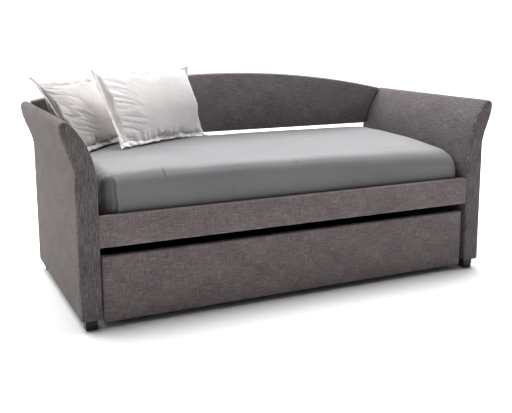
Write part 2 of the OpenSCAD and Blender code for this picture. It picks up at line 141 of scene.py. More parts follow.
def cut(ob, verts, faces):
    """Takes a hollow out of a closed piece."""
    me = bpy.data.meshes.new("tool")
    me.from_pydata([tuple(map(float, v)) for v in verts], [], faces)
    bm = bmesh.new()
    bm.from_mesh(me)
    bmesh.ops.recalc_face_normals(bm, faces=bm.faces)
    bm.to_mesh(me)
    bm.free()
    tool = bpy.data.objects.new("tool", me)
    scene.collection.objects.link(tool)
    mod = ob.modifiers.new("cut", "BOOLEAN")
    mod.operation, mod.object, mod.solver = "DIFFERENCE", tool, "EXACT"
    dep = bpy.context.evaluated_depsgraph_get()
    new = bpy.data.meshes.new_from_object(ob.evaluated_get(dep))
    ob.modifiers.clear()
    old = ob.data
    ob.data = new
    bpy.data.meshes.remove(old)
    bpy.data.objects.remove(tool)
    for p in ob.data.polygons:
        p.use_smooth = True
    return ob


def prism(loop, y0, y1):
    n = len(loop)
    v = [(x, y0, z) for x, z in loop] + [(x, y1, z) for x, z in loop]
    f = [[i, (i + 1) % n, n + (i + 1) % n, n + i] for i in range(n)]
    return v, f + [list(range(n - 1, -1, -1)), list(range(n, 2 * n))]


def box_mesh(a, b):
    v = [(x, y, z) for x in (a[0], b[0]) for y in (a[1], b[1]) for z in (a[2], b[2])]
    return v, [[0, 1, 3, 2], [4, 6, 7, 5], [0, 4, 5, 1], [2, 3, 7, 6], [0, 2, 6, 4], [1, 5, 7, 3]]


def smooth_by_angle(ob, angle=35):
    bm = bmesh.new()
    bm.from_mesh(ob.data)
    for e in bm.edges:
        if len(e.link_faces) == 2 and e.calc_face_angle(0) > math.radians(angle):
            e.smooth = False
    bm.to_mesh(ob.data)
    bm.free()


def ripple(p, scale, amp, seed=0.0):
    return amp * noise.noise(Vector((p[0] * scale + seed, p[1] * scale + 7.3, p[2] * scale - seed)))


# ---------------------------------------------------------------- materials
def rgb(r, g, b):
    """sRGB 0 to 255, as linear."""
    return tuple(((c / 255 / 12.92) if c / 255 <= 0.04045 else ((c / 255 + 0.055) / 1.055) ** 2.4) for c in (r, g, b)) + (1.0,)


class Mat:
    def __init__(self, name):
        self.m = bpy.data.materials.new(name)
        self.m.use_nodes = True
        self.t = self.m.node_tree
        self.t.nodes.clear()
        self.out = self.add("ShaderNodeOutputMaterial")
        self.b = self.add("ShaderNodeBsdfPrincipled")
        self.t.links.new(self.b.outputs[0], self.out.inputs[0])

    def add(self, kind, **props):
        n = self.t.nodes.new(kind)
        for k, v in props.items():
            setattr(n, k, v)
        return n

    def link(self, a, b):
        self.t.links.new(a, b)

    def set(self, **values):
        for k, v in values.items():
            self.b.inputs[k.replace("_", " ")].default_value = v

    def coords(self, attribute=None):
        if attribute == "xz":
            a, b = self.add("ShaderNodeSeparateXYZ"), self.add("ShaderNodeCombineXYZ")
            self.link(self.add("ShaderNodeTexCoord").outputs["Object"], a.inputs[0])
            self.link(a.outputs["X"], b.inputs["X"])
            self.link(a.outputs["Z"], b.inputs["Y"])
            return b.outputs[0]
        if attribute:
            n = self.add("ShaderNodeAttribute", attribute_name=attribute)
            return n.outputs["Vector"]
        return self.add("ShaderNodeTexCoord").outputs["Object"]

    def scaled(self, v, s, shift=(0, 0, 0)):
        n = self.add("ShaderNodeVectorMath", operation="MULTIPLY_ADD")
        self.link(v, n.inputs[0])
        n.inputs[1].default_value = s
        n.inputs[2].default_value = shift
        return n.outputs[0]

    def noise(self, v, scale=1.0, detail=2.0, rough=0.5, dist=0.0):
        n = self.add("ShaderNodeTexNoise")
        self.link(v, n.inputs["Vector"])
        n.inputs["Scale"].default_value = scale
        n.inputs["Detail"].default_value = detail
        n.inputs["Roughness"].default_value = rough
        n.inputs["Distortion"].default_value = dist
        return n.outputs[0]

    def math(self, op, a, b=None, c=None, clamp=False):
        n = self.add("ShaderNodeMath", operation=op, use_clamp=clamp)
        for i, x in enumerate((a, b, c)):
            if x is None:
                continue
            if isinstance(x, (int, float)):
                n.inputs[i].default_value = x
            else:
                self.link(x, n.inputs[i])
        return n.outputs[0]

    def ramp(self, v, stops, interpolation="LINEAR"):
        n = self.add("ShaderNodeValToRGB")
        r = n.color_ramp
        r.interpolation = interpolation
        while len(r.elements) < len(stops):
            r.elements.new(0.5)
        for e, (p, c) in zip(r.elements, stops):
            e.position, e.color = p, c
        self.link(v, n.inputs[0])
        return n.outputs[0]

    def mix(self, f, a, b, kind="MIX"):
        n = self.add("ShaderNodeMix", data_type="RGBA", blend_type=kind)
        for i, x in ((0, f), (6, a), (7, b)):
            if isinstance(x, (int, float, tuple)):
                n.inputs[i].default_value = x
            else:
                self.link(x, n.inputs[i])
        return n.outputs[2]

    def split(self, v):
        n = self.add("ShaderNodeSeparateXYZ")
        self.link(v, n.inputs[0])
        return n.outputs

    def bump(self, h, distance=0.001, strength=1.0, normal=None):
        n = self.add("ShaderNodeBump")
        n.inputs["Strength"].default_value = strength
        n.inputs["Distance"].default_value = distance
        self.link(h, n.inputs["Height"])
        if normal is not None:
            self.link(normal, n.inputs["Normal"])
        return n.outputs[0]

    def use(self, color=None, rough=None, normal=None):
        if color is not None:
            self.link(color, self.b.inputs["Base Color"])
        if rough is not None:
            self.link(rough, self.b.inputs["Roughness"])
        if normal is not None:
            self.link(normal, self.b.inputs["Normal"])
        return self.m


def linen(name, dark, mid, light, upright=0.5, attribute="cloth"):
    """Slubby plain weave: long thick and thin yarns both ways, over a fine thread grid. upright is the share of the upright yarns."""
    m = Mat(name)
    v = m.coords(attribute)
    across = m.noise(m.scaled(v, (15, 330, 1)), detail=3.0, rough=0.62)
    down = m.noise(m.scaled(v, (330, 15, 1), (31, 5, 0)), detail=3.0, rough=0.62)
    short_a = m.noise(m.scaled(v, (55, 620, 1), (3, 9, 0)), detail=1.5, rough=0.5)
    short_d = m.noise(m.scaled(v, (620, 55, 1), (13, 2, 0)), detail=1.5, rough=0.5)
    blotch = m.noise(m.scaled(v, (5, 9, 1)), detail=2.0)
    h = m.math("ADD", m.math("MULTIPLY", across, 1 - upright), m.math("MULTIPLY", down, upright))
    s = m.math("ADD", m.math("MULTIPLY", short_a, 1 - upright), m.math("MULTIPLY", short_d, upright))
    t = m.math("ADD", m.math("MULTIPLY", h, 0.62), m.math("MULTIPLY", s, 0.38))
    t = m.math("ADD", t, m.math("MULTIPLY", m.math("SUBTRACT", blotch, 0.5), 0.10))
    # fine threads, over and under
    xyz = m.split(m.scaled(v, (2 * math.pi / 0.0021, 2 * math.pi / 0.0021, 0)))
    sx, sy = m.math("SINE", xyz[0]), m.math("SINE", xyz[1])
    thread = m.math("MULTIPLY", sx, sy)
    t2 = m.math("ADD", t, m.math("MULTIPLY", thread, 0.035))
    color = m.ramp(t2, [(0.36, dark), (0.5, mid), (0.66, light)])
    height = m.math("ADD", m.math("MULTIPLY", t, 1.6), m.math("MULTIPLY", thread, 0.22))
    m.set(Roughness=0.93, Sheen_Weight=0.12, Sheen_Roughness=0.5)
    m.b.inputs["Specular IOR Level"].default_value = 0.15
    return m.use(color=color, normal=m.bump(height, 0.0011, 0.75))


LINEN = linen("linen", rgb(68, 58, 60), rgb(113, 103, 104), rgb(162, 153, 150), 0.42)
# painted light: the back panel's linen is a lighter copy of the same cloth, standing in for light its face does not get
LINEN_BACK_PAINTED_LIGHT = linen("linen_back_painted_light", rgb(81, 75, 78), rgb(124, 117, 120), rgb(166, 160, 161), 0.28)
LINEN_REAR = linen("linen_rear", rgb(60, 52, 53), rgb(98, 89, 90), rgb(142, 133, 131), 0.42, "xz")
# painted shade: each arm wears its own darker copy of the same linen, toned to how the light falls on that arm
LINEN_LEFT_PAINTED_SHADE = linen("linen_left_painted_shade", rgb(51, 44, 43), rgb(84, 76, 74), rgb(128, 118, 114), 0.34)
LINEN_RIGHT_PAINTED_SHADE = linen("linen_right_painted_shade", rgb(52, 46, 48), rgb(84, 78, 80), rgb(124, 117, 118), 0.28)
LINEN_FACING = linen("linen_facing", rgb(54, 49, 51), rgb(93, 86, 87), rgb(136, 129, 128), 0.86)


def sateen():
    """Fitted sheet: fine sateen with a soft sheen and faint pressed creases."""
    m = Mat("sateen")
    v = m.coords()
    soft = m.noise(m.scaled(v, (2.2, 3.0, 3.0)), detail=2.0)
    fine = m.noise(m.scaled(v, (900, 900, 900)), detail=1.0)
    thread = m.noise(m.scaled(v, (60, 700, 700)), detail=2.0)
    c = m.ramp(soft, [(0.3, rgb(112, 111, 113)), (0.7, rgb(120, 119, 121))])
    c = m.mix(m.math("MULTIPLY", thread, 0.18), c, rgb(92, 93, 97))
    crease = m.noise(m.scaled(v, (7, 4, 7)), detail=3.0, rough=0.45, dist=0.8)
    n = m.bump(m.math("ADD", m.math("MULTIPLY", fine, 0.05), m.math("MULTIPLY", crease, 1.0)), 0.006, 0.35)
    m.set(Roughness=0.62, Sheen_Weight=0.15, Sheen_Roughness=0.4)
    m.b.inputs["Specular IOR Level"].default_value = 0.32
    r = m.ramp(fine, [(0.3, (0.56,) * 3 + (1,)), (0.7, (0.68,) * 3 + (1,))])
    return m.use(color=c, rough=r, normal=n)


SATEEN = sateen()


def cotton(name, c0, c1):
    m = Mat(name)
    v = m.coords()
    soft = m.noise(m.scaled(v, (9, 9, 9)), detail=3.0)
    fine = m.noise(m.scaled(v, (700, 700, 700)), detail=2.0)
    c = m.ramp(soft, [(0.3, c0), (0.7, c1)])
    n = m.bump(m.math("ADD", m.math("MULTIPLY", fine, 0.10), m.noise(m.scaled(v, (26, 26, 60)), detail=4.0, rough=0.55)), 0.004, 0.35)
    m.set(Roughness=0.9, Sheen_Weight=0.2, Sheen_Roughness=0.4)
    m.b.inputs["Specular IOR Level"].default_value = 0.2
    return m.use(color=c, normal=n)


COTTON = cotton("cotton", rgb(236, 232, 231), rgb(243, 240, 239))
# painted shade: the rear pillow is a greyer copy of the same white cotton, standing in for the shade it lies in
COTTON_REAR_PAINTED_SHADE = cotton("cotton_rear_painted_shade", rgb(184, 178, 176), rgb(195, 190, 188))


def ticking():
    """Mattress cover under the sheet: off-white knit with quilted diamonds."""
    m = Mat("ticking")
    v = m.coords()
    xyz = m.split(m.scaled(v, (math.pi / 0.09, math.pi / 0.09, math.pi / 0.09)))
    a = m.math("ABSOLUTE", m.math("SINE", m.math("ADD", xyz[0], xyz[1])))
    b = m.math("ABSOLUTE", m.math("SINE", m.math("SUBTRACT", xyz[0], xyz[1])))
    q = m.math("POWER", m.math("MINIMUM", a, b), 0.5)
    fine = m.noise(m.scaled(v, (800, 800, 800)), detail=1.0)
    c = m.ramp(q, [(0.0, rgb(190, 186, 178)), (0.5, rgb(226, 223, 216))])
    m.set(Roughness=0.9)
    return m.use(color=c, normal=m.bump(m.math("ADD", q, m.math("MULTIPLY", fine, 0.06)), 0.006, 0.6))


TICKING = ticking()


def wood(name, a, b, c, rough=0.55, along=0, grain=1.0):
    """Planed wood: long growth lines along one axis, pores and slow colour drift."""
    m = Mat(name)
    v = m.coords()
    s = [38.0, 38.0, 38.0]
    s[along] = 1.6
    lines = m.noise(m.scaled(v, tuple(s)), detail=4.0, rough=0.6, dist=1.2)
    p = [420.0, 420.0, 420.0]
    p[along] = 18.0
    pores = m.noise(m.scaled(v, tuple(p)), detail=2.0)
    slow = m.noise(m.scaled(v, (1.7, 1.7, 1.7)), detail=1.0)
    t = m.math("ADD", m.math("MULTIPLY", lines, 0.7), m.math("MULTIPLY", pores, 0.3))
    col = m.ramp(t, [(0.32, a), (0.5, b), (0.68, c)])
    col = m.mix(m.math("MULTIPLY", slow, 0.25), col, a)
    r = m.ramp(pores, [(0.3, (rough - 0.08,) * 3 + (1,)), (0.7, (rough + 0.1,) * 3 + (1,))])
    m.b.inputs["Specular IOR Level"].default_value = 0.35
    return m.use(color=col, rough=r, normal=m.bump(t, 0.0006 * grain, 0.5))


PINE_X = wood("pine_x", rgb(176, 132, 86), rgb(205, 166, 116), rgb(226, 192, 146), 0.62, 0)
PINE_Y = wood("pine_y", rgb(176, 132, 86), rgb(205, 166, 116), rgb(226, 192, 146), 0.62, 1)
PINE_Z = wood("pine_z", rgb(170, 128, 84), rgb(200, 160, 112), rgb(222, 188, 142), 0.62, 2)
CHERRY_X = wood("cherry_x", rgb(26, 8, 7), rgb(44, 15, 12), rgb(64, 26, 20), 0.46, 0)
CHERRY_Y = wood("cherry_y", rgb(26, 8, 7), rgb(44, 15, 12), rgb(64, 26, 20), 0.46, 1)
BLACK_WOOD = wood("black_wood", rgb(10, 9, 9), rgb(20, 18, 18), rgb(33, 30, 29), 0.4, 2, 0.6)


def zinc():
    m = Mat("zinc")
    v = m.coords()
    blot = m.noise(m.scaled(v, (90, 90, 90)), detail=4.0, rough=0.6)
    fine = m.noise(m.scaled(v, (900, 900, 900)), detail=2.0)
    c = m.ramp(blot, [(0.3, rgb(150, 150, 152)), (0.7, rgb(196, 196, 194))])
    r = m.ramp(blot, [(0.3, (0.28,) * 3 + (1,)), (0.7, (0.46,) * 3 + (1,))])
    m.set(Metallic=1.0)
    return m.use(color=c, rough=r, normal=m.bump(fine, 0.0001, 0.4))


ZINC = zinc()


def plastic(name, c0, c1, rough):
    m = Mat(name)
    v = m.coords()
    grainy = m.noise(m.scaled(v, (1400, 1400, 1400)), detail=2.0)
    slow = m.noise(m.scaled(v, (60, 60, 60)), detail=3.0)
    r = m.ramp(slow, [(0.3, (rough - 0.08,) * 3 + (1,)), (0.7, (rough + 0.08,) * 3 + (1,))])
    return m.use(color=m.ramp(slow, [(0.3, c0), (0.7, c1)]), rough=r, normal=m.bump(grainy, 0.0001, 0.5))


HUB = plastic("hub_plastic", rgb(84, 84, 86), rgb(98, 98, 100), 0.45)
TYRE = plastic("tyre_rubber", rgb(22, 22, 22), rgb(40, 39, 38), 0.75)
GLIDE = plastic("glide_plastic", rgb(34, 34, 35), rgb(46, 46, 47), 0.5)


def cambric():
    m = Mat("cambric")
    v = m.coords()
    xyz = m.split(m.scaled(v, (2 * math.pi / 0.003, 2 * math.pi / 0.003, 0)))
    w = m.math("MULTIPLY", m.math("SINE", xyz[0]), m.math("SINE", xyz[1]))
    f = m.noise(m.scaled(v, (120, 120, 120)), detail=3.0)
    c = m.ramp(f, [(0.3, rgb(20, 20, 21)), (0.7, rgb(36, 36, 37))])
    m.set(Roughness=0.95)
    return m.use(color=c, normal=m.bump(w, 0.0004, 0.5))


CAMBRIC = cambric()


def dress(node, mat):
    ob = NODES[node]
    ob.data.materials.clear()
    ob.data.materials.append(mat)


def wear(ob, mat, body, slot, *nodes):
    ob.data.materials.clear()
    ob.data.materials.append(mat)
    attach(ob, body)
    if nodes:
        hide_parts(*nodes)
    return ob


for n in NODES:
    if n.endswith(("_ribs",)):
        dress(n, PINE_Z)
    elif n.endswith("_arm_rails") or n in ("slats",):
        dress(n, PINE_Y)
    elif n in ("back_panel_frame", "back_panel_board", "front_rail_board", "front_ledger", "rear_rail", "rear_ledger"):
        dress(n, PINE_X)
    elif n in ("trundle_front_board", "trundle_back", "trundle_ledgers", "trundle_centre_rail", "corner_blocks", "trundle_dust_panel", "rear_board"):
        dress(n, CHERRY_X)
    elif n in ("trundle_side_left", "trundle_side_right", "trundle_slats"):
        dress(n, CHERRY_Y)
    elif n.startswith("foot_") and n not in ("foot_bolts", "foot_glides"):
        dress(n, BLACK_WOOD)
    elif n == "foot_glides":
        dress(n, GLIDE)
    elif n.startswith("tyre_"):
        dress(n, TYRE)
    elif n.startswith("hub_"):
        dress(n, HUB)
    elif n.endswith("_dust_cover"):
        dress(n, CAMBRIC)
    elif n == "back_panel_rear_cover":
        dress(n, LINEN_REAR)
    elif n.endswith(("_bolts", "_screws", "_brackets", "_axles")):
        dress(n, ZINC)

# ---------------------------------------------------------------- arms
LINE = even(arm_line(), 0.010)
BOTTOM = np.array([(x, FOOT) for x in np.linspace(LINE[-1][0], LINE[0][0], 10)[1:-1]])
ARM_LOOP = np.vstack([LINE, BOTTOM])
for k, (cx, cz) in enumerate(((HO + 0.008, FOOT + 0.008), (HO + ARM_T - 0.008, FOOT + 0.008))):
    for p in ARM_LOOP:
        d = p - [cx, cz]
        if (d[0] < 0 if k == 0 else d[0] > 0) and d[1] < 0:
            p[:] = [cx, cz] + d * 0.008 / max(0.008, np.linalg.norm(d))


def arm_inset(d):
    """The arm's outline moved inwards by d, kept from folding over itself at the bottom corners."""
    lp = ARM_LOOP + RIM * d
    for p in lp:
        if p[1] < 0.45:
            p[1] = max(p[1], FOOT + d)
            p[0] = min(max(p[0], HO + d), HO + ARM_T - d)
    return lp


RIM = inset(ARM_LOOP, 1.0) - ARM_LOOP
RIM /= np.maximum(1.0, np.linalg.norm(RIM, axis=1) / 1.42)[:, None]
ARM_LEN = np.concatenate([[0], np.cumsum(np.linalg.norm(np.diff(np.vstack([ARM_LOOP, ARM_LOOP[:1]]), axis=0), axis=1))])[:-1]


def hollow_loop():
    def lean(z):
        t = max(0.0, (z - FLARE_Z) / (ARM_H - 0.003 - FLARE_Z))
        return math.sqrt(1 + (FLARE_IN * 2.8 * t ** 1.8 / (ARM_H - 0.003 - FLARE_Z)) ** 2)
    top = CREST_Z - 0.008
    p = [(HO + 0.015, FOOT - 0.01)]
    p += [(inner_x(z) + 0.015 * lean(z), z) for z in np.linspace(FLARE_Z, top, 11)]
    p += [(outer_x(z) - 0.01575, z) for z in np.linspace(top, 0.680, 9)]
    p += [(HO + ARM_T - 0.01575, FOOT - 0.01)]
    return np.array(p)


def arm(side, s):
    y0, y1 = YF + FACING_T, YB - FACING_T
    ys = [(y0, 0.0024), (y0 + 0.0008, 0.0012), (y0 + 0.0025, 0.0003), (y0 + 0.006, 0.0)]
    ys += [(y, 0.0) for y in np.linspace(y0 + 0.03, y1 - 0.03, 36)]
    ys += [(y1 - 0.006, 0.0), (y1 - 0.0025, 0.0003), (y1 - 0.0008, 0.0012), (y1, 0.0024)]
    loops, clothes = [], []
    for y, d in ys:
        lp = arm_inset(d)
        edge = min(1.0, min(y - y0, y1 - y) / 0.05)
        full = []
        for i, (x, z) in enumerate(lp):
            k = 0.0
            if i < len(LINE):
                side_in = min(1.0, max(0.0, min(z - FOOT, 0.2) / 0.2))
                k = edge * side_in * (0.0006 + ripple((y, ARM_LEN[i], s * 3.0), 4.5, 0.0011, s * 5))
            full.append((x - RIM[i][0] * k, z - RIM[i][1] * k))
        loops.append([(s * x, y, z) for x, z in full])
        clothes.append([(y * 1.0 + s * 11, ARM_LEN[i], 0) for i in range(len(lp))])
    ob = loops_solid(f"{side}_arm_wrap", loops, clothes)
    v, f = prism([(s * x, z) for x, z in hollow_loop()], y0 - 0.02, y1 + 0.02)
    cut(ob, v, f)
    smooth_by_angle(ob, 50)
    # painted shade: the left and right arms take the darker linen copies
    wear(ob, LINEN_LEFT_PAINTED_SHADE if s < 0 else LINEN_RIGHT_PAINTED_SHADE, "bed", "linen", f"{side}_arm_cover")
    for face, yw, d in (("front", YF, 1), ("rear", YB, -1)):
        st = [(FACING_T, 0.0024), (FACING_T - 0.0012, 0.0008), (FACING_T - 0.0035, 0.0), (0.0062, 0.0003), (0.0036, 0.0016),
              (0.0016, 0.0038), (0.0004, 0.0068), (-0.0002, 0.0100), (-0.0008, 0.0150), (-0.0012, 0.0205)]
        loops = [[(s * x, yw + d * q, z) for x, z in arm_inset(a)] for q, a in st]
        clothes = [[(s * x + 3 * d + q * 0.7, z + q * 0.7, 0) for x, z in arm_inset(a)] for q, a in st]
        ob = loops_solid(f"{side}_arm_{face}_facing", loops, clothes)
        wear(ob, LINEN_FACING, "bed", "linen_facing", f"{side}_arm_{face}_panel")


arm("right", 1)
arm("left", -1)

# ---------------------------------------------------------------- back panel
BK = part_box("back_panel_cover")
ARC_R, ARC_TOP = 5.100, BK[1][2]
ARC_Z = ARC_TOP - ARC_R
BACK_LOW = BK[0][2]


def arc_z(x):
    return ARC_Z + math.sqrt(ARC_R ** 2 - x * x)


def back_loop():
    side = [(inner_x(z) - 0.001, z) for z in np.linspace(BACK_LOW, CREST_Z + 0.009, 40)]
    xe = side[-1][0] - 0.002
    top = [(x, arc_z(x)) for x in np.linspace(xe, -xe, 160)]
    other = [(-x, z) for x, z in side[::-1]]
    low = [(x, BACK_LOW) for x in np.linspace(-side[0][0], side[0][0], 120)[1:-1]]
    return np.array(side + top + other + low)


def back_panel():
    y0 = BK[0][1]
    loop = even(back_loop(), 0.009, closed=True)
    rim = inset(loop, 1.0) - loop
    st = [(BK[1][1], 0.0), (y0 + 0.012, 0.0), (y0 + 0.0075, 0.0006), (y0 + 0.0042, 0.0022), (y0 + 0.0018, 0.0048), (y0 + 0.0004, 0.0082), (y0, 0.0100)]
    loops = [[(x, y, z) for x, z in loop + rim * d] for y, d in st]
    clothes = [[(x, z + (y - y0), 0) for x, z in loop + rim * d] for y, d in st]
    ob = loops_solid("back_panel_pad", loops, clothes)
    side = [(inner_x(z) - 0.001 - 0.012 * 1.15, z) for z in np.linspace(BACK_LOW + 0.012, CREST_Z - 0.004, 16)]
    xe = side[-1][0] - 0.002
    c = side + [(x, arc_z(x) - 0.012) for x in np.linspace(xe, -xe, 41)] + [(-x, z) for x, z in side[::-1]]
    v, f = prism(c, y0 + 0.014, YB + 0.02)
    cut(ob, v, f)
    smooth_by_angle(ob, 40)
    # painted light: the back panel wears the lighter copy of the linen
    wear(ob, LINEN_BACK_PAINTED_LIGHT, "bed", "linen", "back_panel_cover")


back_panel()


# ---------------------------------------------------------------- rounded boxes
def axis_samples(h, r, step, m=5):
    flat = np.linspace(-(h - r), h - r, max(2, int(2 * (h - r) / step) + 1))
    out = [(h - r) + r * math.tan(math.radians(45 * k / m)) for k in range(1, m + 1)]
    return np.array([-x for x in out[::-1]] + list(flat) + out)


def rounded_box(c, h, r, step, m=5, more=()):
    """Surface points and faces of a box with rounded edges, on an even grid. more adds grid lines along X."""
    S = [axis_samples(h[k], r, step, m) for k in range(3)]
    if len(more):
        near = [x for x in S[0] if min(abs(x - y) for y in more) > 0.0015]
        S[0] = np.array(sorted(near + list(more)))
    verts, faces, seen = [], [], {}
    lim = np.array(h) - r

    def vid(p):
        q = np.clip(p, -lim, lim)
        d = p - q
        n = np.linalg.norm(d)
        x = q + r * d / n
        key = tuple(np.round(x, 6))
        if key not in seen:
            seen[key] = len(verts)
            verts.append(x)
        return seen[key]

    for ax in range(3):
        a, b = [k for k in range(3) if k != ax]
        for sg in (-1, 1):
            ids = np.empty((len(S[a]), len(S[b])), int)
            for i, u in enumerate(S[a]):
                for j, w in enumerate(S[b]):
                    p = np.zeros(3)
                    p[ax], p[a], p[b] = sg * h[ax], u, w
                    ids[i, j] = vid(p)
            for i in range(len(S[a]) - 1):
                for j in range(len(S[b]) - 1):
                    f = [ids[i, j], ids[i + 1, j], ids[i + 1, j + 1], ids[i, j + 1]]
                    if len(set(f)) == 4:
                        faces.append(f)
                    elif len(set(f)) == 3:
                        faces.append(list(dict.fromkeys(f)))
    return np.array(verts) + np.array(c), faces


def pad_box(name, node, r, step, hollow, mat, slot, body, crown=0.0015, trim=0.0):
    lo, hi = (np.array(x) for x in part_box(node))
    c, h = (lo + hi) / 2, (hi - lo) / 2
    h[0] += trim
    v, f = rounded_box(c, h, r, step)
    cl = []
    for p in v:
        q = (p - c) / h
        out = crown * (1 - min(1, abs(q[0])) ** 8) * (1 - q[2] ** 4) + ripple(p, 5.0, 0.0009)
        if q[1] < -0.5:
            p[1] -= out * max(0, (-q[1] - 0.5) * 2)
        cl.append((p[0], p[2] + (p[1] - lo[1]), 0))
    ob = make(name, v, f, cl)
    a, b = (np.array(x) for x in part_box(hollow))
    a, b = a - [0.0003, 0.0003, 0.0003], b + [0.0003, 0.05, 0.0003]
    if trim:
        a[0], b[0] = lo[0] - 0.05, hi[0] + 0.05
    cut(ob, *box_mesh(a, b))
    smooth_by_angle(ob, 50)
    wear(ob, mat, body, slot, node)
    return ob


pad_box("front_rail_pad", "front_rail_cover", 0.009, 0.03, "front_rail_board", LINEN, "linen", "bed", trim=0.006)
pad_box("trundle_front_pad", "trundle_front_cover", 0.009, 0.03, "trundle_front_board", LINEN, "linen", "trundle", crown=0.002)

# ---------------------------------------------------------------- mattress and fitted sheet
ML, MH = (np.array(x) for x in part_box("mattress"))


def ridge(x, w):
    return math.exp(-(x / w) ** 2)


def smooth(a, b, x):
    t = min(1.0, max(0.0, (x - a) / (b - a)))
    return t * t * (3 - 2 * t)


def disc(u, v):
    """A corner square pulled in to a quarter disc."""
    return u * math.sqrt(1 - v * v / 2), v * math.sqrt(1 - u * u / 2)


def round_off(a, b, ha, hb, r):
    """Rounds the corner between two axes to the radius r, for a point at a, b in a box of half sizes ha, hb."""
    sa, sb = (1 if a >= 0 else -1), (1 if b >= 0 else -1)
    u, v = (abs(a) - (ha - r)) / r, (abs(b) - (hb - r)) / r
    if u <= 0 or v <= 0:
        return a, b
    u, v = disc(min(u, 1), min(v, 1))
    return sa * (ha - r + r * u), sb * (hb - r + r * v)


# places, heights, widths and depths of the pressed creases along the front edge
CREASES = ((-0.690, 0.640, 0.688, 0.0042, -0.0075), (-0.351, 0.560, 0.615, 0.0050, -0.0040), (0.300, 0.545, 0.60, 0.0050, -0.0040), (0.0, 0.655, 0.70, 0.0050, 0.0025))


def fine_lines(c, h):
    """Extra grid lines where the corner tuck and the creases need them."""
    x = list(np.arange(-h[0] + 0.020, -h[0] + 0.085, 0.0032))
    for k in CREASES:
        x += list(np.arange(k[0] - 0.014, k[0] + 0.0141, 0.0028) - c[0])
    return x


def mattress_shape(shrink, step):
    lo, hi = ML + shrink, MH - shrink
    c, h = (lo + hi) / 2, (hi - lo) / 2
    v, f = rounded_box(c, h, 0.016, step, 3, fine_lines(c, h) if step < 0.02 else ())
    out = []
    for p in v:
        x, y, z = p - c
        far = x > 0
        # the ends are rounder than the long sides, and the right end most of all
        x, z = round_off(x, z, h[0], h[2], (0.078 if far else 0.050) if z > 0 else 0.040)
        y, z = round_off(y, z, h[1], h[2], (0.074 + (0.022 * smooth(-0.4, 0.95, x) if y < 0 else 0.0)) if z > 0 else 0.040)
        top = min(1.0, max(0.0, (z + h[2]) / (2 * h[2])))
        up = min(1.0, max(0.0, (z + 0.030) / (h[2] + 0.030)))
        x, y = round_off(x, y, h[0], h[1], (0.045 + (0.115 if y < 0 else 0.06) * up ** 1.6) if far else 0.058)
        # the top falls away towards the front right corner
        fx = min(1.0, max(0.0, (x + 0.30) / (h[0] + 0.30)))
        fy = min(1.0, max(0.0, (0.35 - y) / (0.35 + h[1])))
        z -= top * 0.034 * (fx ** 1.5) * (fy ** 2.3)
        # the right end bulges a little towards its arm
        x += 0.010 * smooth(h[0] - 0.10, h[0], x) * (1 - (z / h[2]) ** 2) * smooth(h[1], h[1] - 0.10, abs(y)) if far else 0.0
        z -= top * 0.005 * max(0.0, (abs(x) / h[0] - 0.75) / 0.25) ** 2
        z += top ** 3 * (0.0085 + 0.0045 * (1 - (y / h[1]) ** 2)) * smooth(-h[1], -h[1] + 0.38, y) * (1 - 0.5 * (x / h[0]) ** 4)
        out.append((x + c[0], y + c[1], z + c[2]))
    return np.array(out), f, c, h


